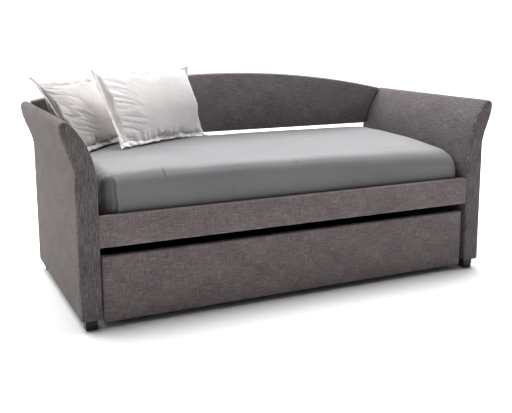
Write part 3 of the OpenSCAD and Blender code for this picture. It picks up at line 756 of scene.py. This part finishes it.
def fitted_sheet():
    v, f, c, h = mattress_shape(0.0012, 0.011)
    bm = bmesh.new()
    vs = [bm.verts.new(tuple(p)) for p in v]
    for q in f:
        bm.faces.new([vs[i] for i in q])
    bmesh.ops.recalc_face_normals(bm, faces=bm.faces)
    # the underside is open inside its elastic hem
    drop = [g for g in bm.faces if g.normal.z < -0.9 and abs(g.calc_center_median().x - c[0]) < h[0] - 0.07 and abs(g.calc_center_median().y - c[1]) < h[1] - 0.07]
    bmesh.ops.delete(bm, geom=drop, context="FACES")
    bm.normal_update()
    lo, hi = c - h, c + h
    moves = []
    for vert in bm.verts:
        p, n = vert.co, vert.normal
        x, y, z = p
        d = 0.0
        up = max(0.0, n.z)
        # slow unevenness of the top, with soft pulls that run in from the near corner
        if up > 0.5 and x < -0.2:
            a = math.atan2(y - lo[1] + 0.02, x - lo[0] + 0.02)
            rr = math.hypot(y - lo[1], x - lo[0])
            d += 0.0030 * math.exp(-((rr - 0.26) / 0.20) ** 2) * noise.noise(Vector((a * 7.0, rr * 1.5, 3.0)))
        if up > 0.5:
            d += up * 0.0026 * noise.noise(Vector((x * 3.2 + y * 2.2, y * 6.5 - x * 1.2, 8.1)))
        d += up * (0.0022 * noise.noise(Vector((x * 2.2, y * 3.1, 0.3))) + 0.0010 * noise.noise(Vector((x * 6, y * 9, 4.3))))
        front = max(0.0, -n.y)
        left = max(0.0, -n.x)
        # gathers low on the sides, pulled under by the elastic
        gz = max(0.0, 1 - (z - lo[2]) / 0.11)
        along = x if abs(n.y) > abs(n.x) else y
        d += (1 - up) * gz * 0.0022 * noise.noise(Vector((along * 26, z * 5, 2.0)))
        # faint upright pulls on the front
        d += front * 0.0012 * noise.noise(Vector((x * 14, z * 3, 9.0)))
        # pressed creases on the front edge
        for cx, z0, z1, w, a in CREASES:
            if abs(x - cx) < 0.05 and y < lo[1] + 0.12:
                zz = (z - (z0 + z1) / 2) / ((z1 - z0) / 2)
                d += a * ridge(x - cx - 0.004 * math.sin(z * 60), w) * math.exp(-zz ** 4)
        # folded corner at the near end: a tuck on the front, just round the corner
        if x < lo[0] + 0.14 and y < lo[1] + 0.07:
            zz = min(1.0, max(0.0, (hi[2] - 0.022 - z) / 0.03))
            t = x - (-0.9135 - 0.075 * (z - 0.509) + 0.0025 * math.sin(z * 70))
            d += zz * (-0.0130 * ridge(t, 0.0052) + 0.0035 * ridge(t - 0.012, 0.009))
            if t < 0:
                d -= zz * 0.0105 * min(1.0, -t / 0.008)
                d += zz * 0.0014 * math.sin(-t * 170 + z * 22) * min(1.0, -t / 0.02)
        # slanting pulls on the near end
        if left > 0.3:
            s = (y - lo[1]) * 0.8 + (z - lo[2]) * 1.0
            near = math.exp(-max(0.0, y - lo[1] - 0.05) / 0.16)
            d += left * near * 0.0045 * math.sin(s * 95 + 2.2 * noise.noise(Vector((y * 8, z * 8, 0)))) * (0.4 + 0.6 * noise.noise(Vector((y * 6, z * 6, 5))))
        moves.append((vert, d))
    for vert, d in moves:
        vert.co += vert.normal * d
        # the hem waves a little
        if vert.is_boundary:
            vert.co.z += 0.001
    me = bpy.data.meshes.new("fitted_sheet")
    bm.to_mesh(me)
    bm.free()
    ob = bpy.data.objects.new("fitted_sheet", me)
    scene.collection.objects.link(ob)
    mod = ob.modifiers.new("thick", "SOLIDIFY")
    mod.thickness, mod.offset = 0.0009, -1
    dep = bpy.context.evaluated_depsgraph_get()
    ob.data = bpy.data.meshes.new_from_object(ob.evaluated_get(dep))
    ob.modifiers.clear()
    for p in ob.data.polygons:
        p.use_smooth = True
    wear(ob, SATEEN, "mattress", "sheet_grey", "mattress")
    v, f, c, h = mattress_shape(0.0105, 0.03)
    # the core gives way under the folded corner
    for p in v:
        if p[0] < ML[0] + 0.17 and p[1] < ML[1] + 0.04:
            p[1] = max(p[1], ML[1] + 0.040)
        if p[0] < ML[0] + 0.04 and p[1] < ML[1] + 0.17:
            p[0] = max(p[0], ML[0] + 0.026)
    core = make("mattress_core", v, f)
    wear(core, TICKING, "mattress", "sheet_grey", "mattress")
    tree = BVHTree.FromPolygons([v.co for v in ob.data.vertices], [list(p.vertices) for p in ob.data.polygons])
    return tree


SHEET = fitted_sheet()


def sheet_top(x, y):
    """Height of the sheet at a place, by looking straight down on it."""
    x = min(max(x, ML[0] + 0.035), MH[0] - 0.035)
    y = min(max(y, ML[1] + 0.035), MH[1] - 0.035)
    hit = SHEET.ray_cast(Vector((x, y, 1.5)), Vector((0, 0, -1)))[0]
    return hit.z if hit else MH[2]


# ---------------------------------------------------------------- pillows
def pillow_cloth(name, W, H, border, seed, full):
    """A pillow made flat from two layers sewn inside a flat border, then blown up, so its seams pull and wrinkle as
    real ones do. Returns points (x, y, z), faces, the index of each point, and the grid counts.
    """
    nx, ny = 66, 48
    xs = np.linspace(-W / 2, W / 2, nx + 1)
    ys = np.linspace(-H / 2, H / 2, ny + 1)
    kx = int(round(border / (W / nx)))
    ky = int(round(border / (H / ny)))
    idx = {}
    verts = []
    for s in (1, -1):
        for i in range(nx + 1):
            for j in range(ny + 1):
                rim = i in (0, nx) or j in (0, ny)
                key = (0 if rim else s, i, j)
                if key in idx:
                    continue
                idx[key] = len(verts)
                inside = kx < i < nx - kx and ky < j < ny - ky
                fx = min(i - kx, nx - kx - i) / (nx / 2)
                fy = min(j - ky, ny - ky - j) / (ny / 2)
                lift = 0.0 if rim else s * (0.0022 + (0.018 * math.sqrt(max(0, fx) * max(0, fy)) if inside else 0))
                verts.append((xs[i], ys[j], lift + 0.0004 * noise.noise(Vector((xs[i] * 30, ys[j] * 30, seed + s)))))

    def at(s, i, j):
        return idx[(0, i, j)] if (0, i, j) in idx else idx[(s, i, j)]

    faces = []
    for s in (1, -1):
        for i in range(nx):
            for j in range(ny):
                q = [at(s, i, j), at(s, i + 1, j), at(s, i + 1, j + 1), at(s, i, j + 1)]
                faces.append(q if s > 0 else q[::-1])
    edges = []
    for i in range(kx, nx - kx + 1):
        for j in range(ky, ny - ky + 1):
            if i in (kx, nx - kx) or j in (ky, ny - ky):
                edges.append((idx[(1, i, j)], idx[(-1, i, j)]))
    me = bpy.data.meshes.new(name + "_sim")
    me.from_pydata(verts, edges, faces)
    me.update()
    ob = bpy.data.objects.new(name + "_sim", me)
    scene.collection.objects.link(ob)
    blow = ob.vertex_groups.new(name="blow")
    for (s, i, j), k in idx.items():
        if s and kx < i < nx - kx and ky < j < ny - ky:
            blow.add([k], 1.0, "REPLACE")
    mod = ob.modifiers.new("Cloth", "CLOTH")
    st = mod.settings
    st.quality = 6
    st.mass = 0.25
    st.tension_stiffness = st.compression_stiffness = 14
    st.shear_stiffness = 6
    st.bending_stiffness = 0.35
    st.use_pressure = True
    st.uniform_pressure_force = 3.2
    st.vertex_group_pressure = "blow"
    st.use_sewing_springs = True
    st.sewing_force_max = 12
    st.effector_weights.gravity = 0.0
    st.air_damping = 6
    st.use_internal_springs = False
    mod.collision_settings.use_self_collision = False
    mod.point_cache.frame_start, mod.point_cache.frame_end = 1, 40
    for fr in range(1, 41):
        scene.frame_set(fr)
    dep = bpy.context.evaluated_depsgraph_get()
    em = ob.evaluated_get(dep).to_mesh()
    V = np.array([v.co[:] for v in em.vertices])
    ob.evaluated_get(dep).to_mesh_clear()
    bpy.data.objects.remove(ob)
    bpy.data.meshes.remove(me)
    scene.frame_set(1)
    print(name, "puffs to", np.ptp(V, axis=0))
    k = full / np.ptp(V[:, 2])
    V[:, 2] *= min(1.6, max(0.5, k))
    return V, faces, idx, nx, ny


def folds(u, w, H, seed, reach):
    """Folds that fan out from the left seam and die away towards the middle."""
    if u > reach + 0.05 or u < 0.03:
        return 0.0
    warp = noise.noise(Vector((u * 2.4, w * 2.2, seed)))
    lane = w * H * 24 + 2.2 * (u / reach) * (w - 0.3) + 3.4 * (u / reach) + 1.2 * warp
    n1 = noise.noise(Vector((u * 3.4 + seed, lane, seed * 1.7)))
    n2 = noise.noise(Vector((u * 6.0 - seed, lane * 2.2, seed * 0.7)))
    ridge = (1 - min(1.0, abs(n1) * 3.0)) ** 1.5 - 0.35
    fine = (1 - min(1.0, abs(n2) * 3.0)) ** 1.5 - 0.35
    patch = 0.55 + 0.8 * noise.noise(Vector((u * 3.1, w * 4.3, seed + 4)))
    env = smooth(0.06, 0.11, u) * (1 - smooth(reach * 0.35, reach, u)) * smooth(0.05, 0.2, w) * (1 - smooth(0.88, 0.97, w))
    return env * max(0.2, patch) * (0.0085 * ridge + 0.0036 * fine)


def thin(u, b, k):
    """Narrows the border on the far side to k times its width b."""
    if u < 0.5:
        return u
    edge = 1 - b
    return 0.5 + (u - 0.5) * (edge + b * (1 - k) - 0.5) / (edge - 0.5) if u < edge else 1 - (1 - u) * k


def place_pillow(name, node, body, corners, W, H, border, full, seed, sag, reach, tips, slim=(0.45, 0.35)):
    """corners: bottom left, bottom right, top left, top right of the middle sheet, seen from the front. tips: how far each corner of the border stands out."""
    C = [np.array(c, float) for c in corners]
    for c in C[:2]:
        c[2] = sheet_top(c[0], c[1]) + 0.003
    V, faces, idx, nx, ny = pillow_cloth(name, W, H, border, seed, full)
    n = np.cross(C[3] - C[0], C[2] - C[1])
    n /= np.linalg.norm(n)
    if n[1] > 0:
        n = -n
    # where the border ends on each row and column, so the outline can be drawn straighter than it pulls in
    row = {j: (V[idx[(0, 0, j)]][0], V[idx[(0, nx, j)]][0]) for j in range(ny + 1)}
    col = {i: (V[idx[(0, i, 0)]][1], V[idx[(0, i, ny)]][1]) for i in range(nx + 1)}
    x0, x1 = min(a for a, b in row.values()), max(b for a, b in row.values())
    y0, y1 = min(a for a, b in col.values()), max(b for a, b in col.values())
    out, tag = [None] * len(V), [None] * len(V)
    zmid = {}
    for (sd, i, j), k in idx.items():
        zmid.setdefault((i, j), []).append(V[k][2])
    for (sd, i, j), k in idx.items():
        x, y, z = V[k]
        u = 0.18 * (x - x0) / (x1 - x0) + 0.82 * (x - row[j][0]) / (row[j][1] - row[j][0])
        w = 0.18 * (y - y0) / (y1 - y0) + 0.82 * (y - col[i][0]) / (col[i][1] - col[i][0])
        # the middle sheet of the border stays near the plane
        zm = sum(zmid[(i, j)]) / len(zmid[(i, j)])
        z = (z - zm) + 0.35 * zm
        if z > 0.003:
            t = min(1.0, (z - 0.003) / (0.5 * full))
            k_low = 1 - smooth(0.0, 0.60, w)
            k_left = (1 - smooth(0.04, 0.32, u)) * (1 - k_low)
            z = 0.003 + (0.40 - 0.29 * k_low - 0.15 * k_left) * full * (1 - (1 - t) ** (2.3 - 0.9 * k_low))
        belly = (1 + sag * (0.5 - w)) * (1 - 0.30 * smooth(0.62, 1.0, w))
        tag[k] = (u, w, float(sd))
        u, w = thin(u, border / W, slim[0]), thin(w, border / H, slim[1])
        p = (C[0] * (1 - u) + C[1] * u) * (1 - w) + (C[2] * (1 - u) + C[3] * u) * w
        out[k] = p + n * z * belly
    ob = make(name, out, faces, tag)
    mod = ob.modifiers.new("sub", "SUBSURF")
    mod.levels = mod.render_levels = 1
    dep = bpy.context.evaluated_depsgraph_get()
    ob.data = bpy.data.meshes.new_from_object(ob.evaluated_get(dep))
    ob.modifiers.clear()
    me = ob.data
    at = np.empty(len(me.vertices) * 3, dtype=np.float32)
    me.attributes["cloth"].data.foreach_get("vector", at)
    at = at.reshape(-1, 3)
    normals = [v.normal.copy() for v in me.vertices]
    ax = (C[1] - C[0]) / np.linalg.norm(C[1] - C[0])
    ay = (C[2] - C[0]) / np.linalg.norm(C[2] - C[0])
    for v, nv, (u, w, sd) in zip(me.vertices, normals, at):
        q = np.array(v.co)
        q += np.array(nv) * (folds(u, w, H, seed, reach) if sd > 0 else 0.5 * folds(u, w, H, seed + 9, reach))
        e, g = min(u, 1 - u) * W, min(w, 1 - w) * H
        # small puckers along the lower and upper seams
        if abs(sd) > 0.5 and g < border + 0.07:
            k = math.exp(-((g - border - 0.012) / 0.028) ** 2)
            q += np.array(nv) * k * (0.0100 if w < 0.5 else 0.0020) * noise.noise(Vector((u * W * 46, 2.0, seed + (3 if w < 0.5 else 6))))
        # the border waves, more along the bottom
        if min(e, g) < border:
            k = 1 - min(e, g) / border
            low = g <= e and w < 0.5
            along = u * W if g <= e else w * H
            # it splays forward where the pillow stands on it, and along the left side
            q += n * k * (0.017 if low else 0.010 if u < 0.5 and e < g else -0.004)
            q += n * k * (0.0190 if low else 0.0070) * (1.3 * noise.noise(Vector((along * (36 if low else 17), seed, 1.0 if low else 2.0))))
            q += (ay if g <= e else ax) * k * 0.004 * noise.noise(Vector((along * 22, seed, 5.0)))
            if low:
                q += ay * k * 0.011 * max(0.0, noise.noise(Vector((along * 27, seed, 8.0))) + 0.05)
        # the tips of the border
        for (cu, cw), (da, dn) in zip(((0, 0), (1, 0), (0, 1), (1, 1)), tips):
            d = math.hypot((u - cu) * W, (w - cw) * H)
            r = 0.105
            if d < r:
                t = (1 - d / r) ** 2
                way = ax * (1 if cu else -1) * 0.8 + ay * (1 if cw else -1) * 0.6
                q += way * da * t + n * dn * t
        q[2] = max(q[2], sheet_top(q[0], q[1]) + 0.0022 + 0.0008 * noise.noise(Vector((q[0] * 20, q[1] * 20, seed))))
        # clear of the left arm
        if q[2] < ARM_H + 0.012:
            q[0] = max(q[0], 0.006 - inner_x(min(q[2], ARM_H - 0.003)))
        v.co = q
    for p in me.polygons:
        p.use_smooth = True
    # painted shade: the rear pillow wears the greyer cotton copy
    wear(ob, COTTON_REAR_PAINTED_SHADE if node == "pillow_rear" else COTTON, body, "pillow_white", node)
    return ob


PZ = MH[2] + 0.0062
place_pillow("pillow_rear_cushion", "pillow_rear", "rear_pillow", [(-0.968, 0.008, PZ), (-0.592, 0.428, PZ), (-1.146, 0.121, 1.056), (-0.795, 0.462, 1.050)],
             0.60, 0.46, 0.040, 0.110, 3.1, 0.22, 0.60, ((0.0, 0.0), (0.0, 0.0), (0.045, 0.012), (0.0, 0.0)), (0.6, 0.75))
place_pillow("pillow_front_cushion", "pillow_front", "front_pillow", [(-0.741, 0.072, PZ), (-0.142, 0.452, PZ), (-0.853, 0.221, 1.090), (-0.244, 0.456, 1.096)],
             0.74, 0.50, 0.040, 0.130, 8.4, 0.22, 0.42, ((0.010, 0.0), (0.022, 0.004), (0.016, 0.034), (0.034, 0.016)), (0.5, 0.45))

# ---------------------------------------------------------------- floor, light and camera
floor = make("floor", [(-30, -30, 0), (30, -30, 0), (30, 30, 0), (-30, 30, 0)], [[0, 1, 2, 3]])
fm = Mat("floor_white")
fm.set(Base_Color=(0.93, 0.93, 0.93, 1), Roughness=0.9, Emission_Color=(1, 1, 1, 1))
# the sweep far from the bed is lit on its own
far = fm.add("ShaderNodeVectorMath", operation="LENGTH")
fm.link(fm.coords(), far.inputs[0])
glow = fm.add("ShaderNodeMapRange", interpolation_type="SMOOTHSTEP")
for k, x in (("From Min", 2.2), ("From Max", 5.0), ("To Min", 0.0), ("To Max", 0.8)):
    glow.inputs[k].default_value = x
fm.link(far.outputs["Value"], glow.inputs["Value"])
fm.link(glow.outputs[0], fm.b.inputs["Emission Strength"])
fm.b.inputs["Specular IOR Level"].default_value = 0.0
floor.data.materials.append(fm.m)

world = bpy.data.worlds.new("studio")
world.use_nodes = True
wt = world.node_tree
bg = wt.nodes["Background"]
wc = wt.nodes.new("ShaderNodeTexCoord")
wx = wt.nodes.new("ShaderNodeSeparateXYZ")
wt.links.new(wc.outputs["Generated"], wx.inputs[0])
wr = wt.nodes.new("ShaderNodeMapRange")
wr.interpolation_type = "SMOOTHSTEP"
wr.inputs["From Min"].default_value, wr.inputs["From Max"].default_value = 0.05, 0.55
wr.inputs["To Min"].default_value, wr.inputs["To Max"].default_value = 0.12, 1.06
wt.links.new(wx.outputs["Y"], wr.inputs["Value"])
bg.inputs[0].default_value = (1, 1, 1, 1)
wt.links.new(wr.outputs[0], bg.inputs[1])
scene.world = world


def lamp(name, loc, target, size, power, color=(1, 1, 1)):
    d = bpy.data.lights.new(name, "AREA")
    d.shape, d.size, d.size_y = "RECTANGLE", size[0], size[1]
    d.energy, d.color = power, color
    o = bpy.data.objects.new(name, d)
    scene.collection.objects.link(o)
    o.location = loc
    o.rotation_euler = (Vector(target) - Vector(loc)).to_track_quat("-Z", "Y").to_euler()
    return o


lamp("top_soft", (0.3, 1.7, 5.2), (0.1, -0.2, 0.3), (11.0, 6.0), 1120)

scene.view_settings.view_transform = "Standard"
scene.view_settings.look = "None"
scene.view_settings.exposure = 0.0
scene.view_settings.gamma = 1.0

cam_data = bpy.data.cameras.new("camera")
cam_data.sensor_width = 36.0
cam_data.sensor_fit = "HORIZONTAL"
cam_data.lens = 763.62 / 512 * 36.0
cam_data.shift_x = -14.0 / 512
cam_data.shift_y = -38.65 / 512
cam = bpy.data.objects.new("camera", cam_data)
scene.collection.objects.link(cam)
cam.location = (-1.7407, YF - 3.1906, 1.3081)
cam.rotation_euler = (math.radians(90 - 10.243), 0, math.radians(-25.952))
scene.camera = cam
